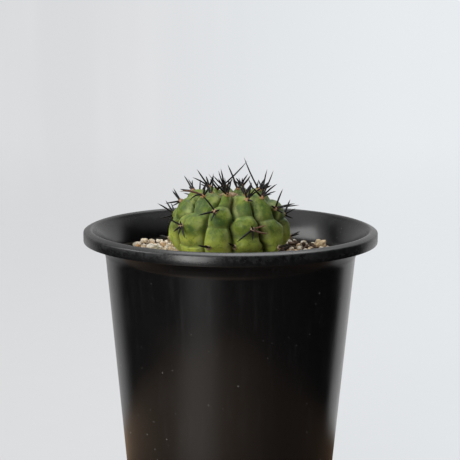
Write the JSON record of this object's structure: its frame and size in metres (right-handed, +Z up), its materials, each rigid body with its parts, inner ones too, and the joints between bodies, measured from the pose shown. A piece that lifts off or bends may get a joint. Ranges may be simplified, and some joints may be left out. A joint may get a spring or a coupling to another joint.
{
  "type": "potted round cactus",
  "caption": "Small flattened-round ribbed cactus with dark spines, standing in a tall flared black plastic pot with pale grit on top of its soil.",
  "frame": {"origin": "centre of the pot's foot, on the surface that it stands on", "axes": "+Z up along the pot's axis, -Y towards the front, +X to the right seen from the front"},
  "size_m": [0.12, 0.12, 0.1586],
  "materials": {
    "pot_plastic": "black moulded plastic, satin, lightly scuffed",
    "soil": "matt dark potting soil",
    "pale_grains": "matt unglazed pale pumice and grit",
    "bark": "matt dark bark",
    "green_skin": "satin waxy living skin",
    "crown_wool": "matt brownish plant wool",
    "spines": "black smooth spines on small tan wool pads"
  },
  "bodies": {
    "root": {"areole_crown_1": "spines", "areole_crown_2": "spines", "areole_crown_3": "spines", "areole_crown_4": "spines", "areole_crown_5": "spines", "areole_crown_6": "spines", "areole_rib10_1": "spines", "areole_rib10_2": "spines", "areole_rib10_3": "spines", "areole_rib11_1": "spines", "areole_rib11_2": "spines", "areole_rib1_1": "spines", "areole_rib1_2": "spines", "areole_rib2_1": "spines", "areole_rib2_2": "spines", "areole_rib3_1": "spines", "areole_rib3_2": "spines", "areole_rib3_3": "spines", "areole_rib4_1": "spines", "areole_rib4_2": "spines", "areole_rib4_3": "spines", "areole_rib5_1": "spines", "areole_rib5_2": "spines", "areole_rib6_1": "spines", "areole_rib6_2": "spines", "areole_rib6_3": "spines", "areole_rib7_1": "spines", "areole_rib7_2": "spines", "areole_rib8_1": "spines", "areole_rib8_2": "spines", "areole_rib8_3": "spines", "areole_rib9_1": "spines", "areole_rib9_2": "spines", "bark_01": "bark", "bark_02": "bark", "bark_03": "bark", "bark_04": "bark", "crown_wool": "crown_wool", "pot": "pot_plastic", "potting_soil": "soil", "stem": "green_skin", "stone_01": "pale_grains", "stone_02": "pale_grains", "stone_03": "pale_grains", "stone_04": "pale_grains", "stone_05": "pale_grains", "stone_06": "pale_grains", "stone_07": "pale_grains", "stone_08": "pale_grains", "stone_09": "pale_grains", "stone_10": "pale_grains", "stone_11": "pale_grains", "stone_12": "pale_grains", "top_dressing": "pale_grains"}
  },
  "joints": []
}
